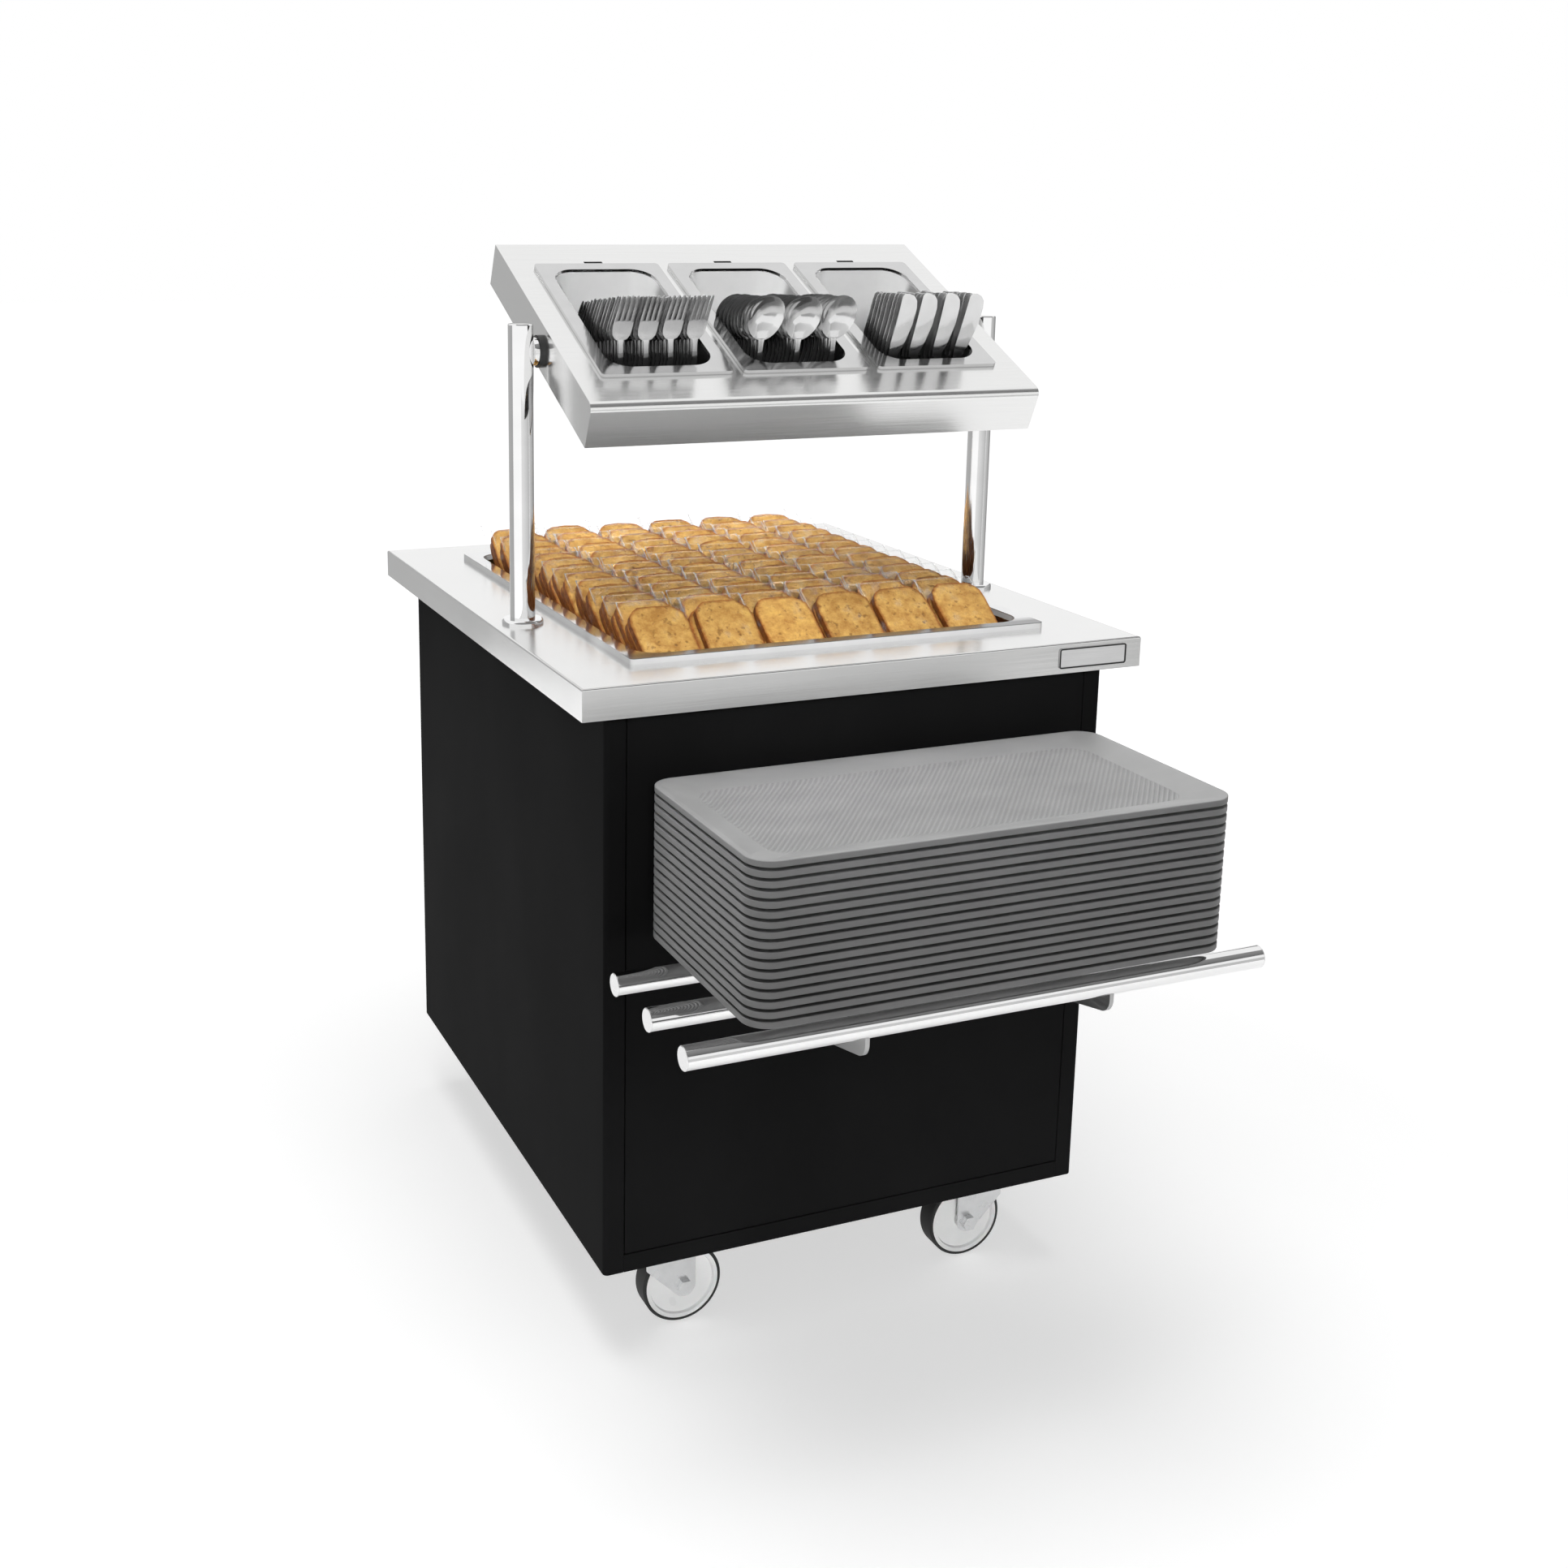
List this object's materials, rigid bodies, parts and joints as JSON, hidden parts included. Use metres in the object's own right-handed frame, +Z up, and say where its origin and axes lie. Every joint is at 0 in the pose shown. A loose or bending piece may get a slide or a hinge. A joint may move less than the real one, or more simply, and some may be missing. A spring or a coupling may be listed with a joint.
{
  "type": "cutlery and tray dispensing trolley",
  "caption": "Mobile serving trolley with a tray slide and stacked trays, a lift-out food pan in a steel worktop and a tilting rack of cutlery containers on posts.",
  "frame": {"origin": "on the floor, at the middle of the overall width and depth, trays included", "axes": "+X to the right seen from the tray side, front with the tray slide towards -Y, +Z up"},
  "size_m": [0.7, 1.1, 1.2565],
  "materials": {
    "stainless": "fine brushed stainless steel",
    "plate": "satin, left bare",
    "black_board": "satin black faced board",
    "core_board": "sealed board",
    "post_chrome": "polished tube",
    "rail_chrome": "polished tube",
    "end_cap": "polished end disc",
    "arm_steel": "satin steel plate",
    "zinc": "bright zinc plate",
    "black_plastic": "moulded",
    "tray_grey": "moulded, ribbed floor",
    "wheel_grey": "moulded",
    "bread": null,
    "tread": "solid rubber"
  },
  "bodies": {
    "trolley": {"worktop": "stainless", "name_plate": "plate", "plate_frame": "black_plastic", "side_left": "black_board", "side_right": "black_board", "front_panel": "black_board", "front_plinth": "black_board", "rear_panel": "black_board", "rear_plinth": "black_board", "base_plate": "core_board", "worktop_core": "core_board", "post_left": "post_chrome", "post_right": "post_chrome", "post_collars": "post_chrome", "post_caps": "post_chrome", "pivot_bolts": "post_chrome", "rail_front": "rail_chrome", "rail_middle": "rail_chrome", "rail_rear": "rail_chrome", "rail_caps": "end_cap", "arm_left": "arm_steel", "arm_right": "arm_steel", "post_feet": "zinc", "post_inserts": "zinc", "arm_bolts": "zinc", "castor_plates": "zinc", "castor_kingpins": "zinc", "castor_bolts": "zinc"},
    "rack": {"rack": "stainless", "rack_spacers": "black_plastic"},
    "pan": {"pan": "stainless", "bread_packs": "bread"},
    "tray_stack": {"tray_stack": "tray_grey", "tray_second": "tray_grey"},
    "tray_top": {"tray_top": "tray_grey"},
    "container_left": {"container_left": "stainless"},
    "container_middle": {"container_middle": "stainless"},
    "container_right": {"container_right": "stainless"},
    "castor_fl": {"fork_fl": "zinc", "axle_fl": "zinc"},
    "wheel_fl": {"wheel_fl": "wheel_grey", "tyre_fl": "tread"},
    "castor_fr": {"fork_fr": "zinc", "axle_fr": "zinc"},
    "wheel_fr": {"wheel_fr": "wheel_grey", "tyre_fr": "tread"},
    "castor_rl": {"fork_rl": "zinc", "axle_rl": "zinc"},
    "wheel_rl": {"wheel_rl": "wheel_grey", "tyre_rl": "tread"},
    "castor_rr": {"fork_rr": "zinc", "axle_rr": "zinc"},
    "wheel_rr": {"wheel_rr": "wheel_grey", "tyre_rr": "tread"}
  },
  "joints": [
    {"name": "rack_tilt", "type": "hinge", "parent": "trolley", "child": "rack", "pos_m": [0, 0.048, 1.14], "axis": [1, 0, 0], "range_deg": [-25, 15]},
    {"name": "pan_lift", "type": "slide", "parent": "trolley", "child": "pan", "axis": [0, 0, 1], "range_m": [0, 0.1]},
    {"name": "tray_stack_lift", "type": "slide", "parent": "trolley", "child": "tray_stack", "axis": [0, 0, 1], "range_m": [0, 0.15]},
    {"name": "tray_top_lift", "type": "slide", "parent": "tray_stack", "child": "tray_top", "axis": [0, 0, 1], "range_m": [0, 0.2]},
    {"name": "container_left_lift", "type": "slide", "parent": "rack", "child": "container_left", "axis": [0, -0.4226, 0.9063], "range_m": [0, 0.13]},
    {"name": "container_middle_lift", "type": "slide", "parent": "rack", "child": "container_middle", "axis": [0, -0.4226, 0.9063], "range_m": [0, 0.13]},
    {"name": "container_right_lift", "type": "slide", "parent": "rack", "child": "container_right", "axis": [0, -0.4226, 0.9063], "range_m": [0, 0.13]},
    {"name": "castor_fl_swivel", "type": "hinge", "parent": "trolley", "child": "castor_fl", "pos_m": [-0.217, -0.178, 0.12], "axis": [0, 0, 1], "continuous": true},
    {"name": "wheel_fl_spin", "type": "hinge", "parent": "castor_fl", "child": "wheel_fl", "pos_m": [-0.195, -0.178, 0.05], "axis": [0, 1, 0], "continuous": true},
    {"name": "castor_fr_swivel", "type": "hinge", "parent": "trolley", "child": "castor_fr", "pos_m": [0.217, -0.178, 0.12], "axis": [0, 0, 1], "continuous": true},
    {"name": "wheel_fr_spin", "type": "hinge", "parent": "castor_fr", "child": "wheel_fr", "pos_m": [0.195, -0.178, 0.05], "axis": [0, 1, 0], "continuous": true},
    {"name": "castor_rl_swivel", "type": "hinge", "parent": "trolley", "child": "castor_rl", "pos_m": [-0.217, 0.455, 0.12], "axis": [0, 0, 1], "continuous": true},
    {"name": "wheel_rl_spin", "type": "hinge", "parent": "castor_rl", "child": "wheel_rl", "pos_m": [-0.195, 0.455, 0.05], "axis": [0, 1, 0], "continuous": true},
    {"name": "castor_rr_swivel", "type": "hinge", "parent": "trolley", "child": "castor_rr", "pos_m": [0.217, 0.455, 0.12], "axis": [0, 0, 1], "continuous": true},
    {"name": "wheel_rr_spin", "type": "hinge", "parent": "castor_rr", "child": "wheel_rr", "pos_m": [0.195, 0.455, 0.05], "axis": [0, 1, 0], "continuous": true}
  ]
}
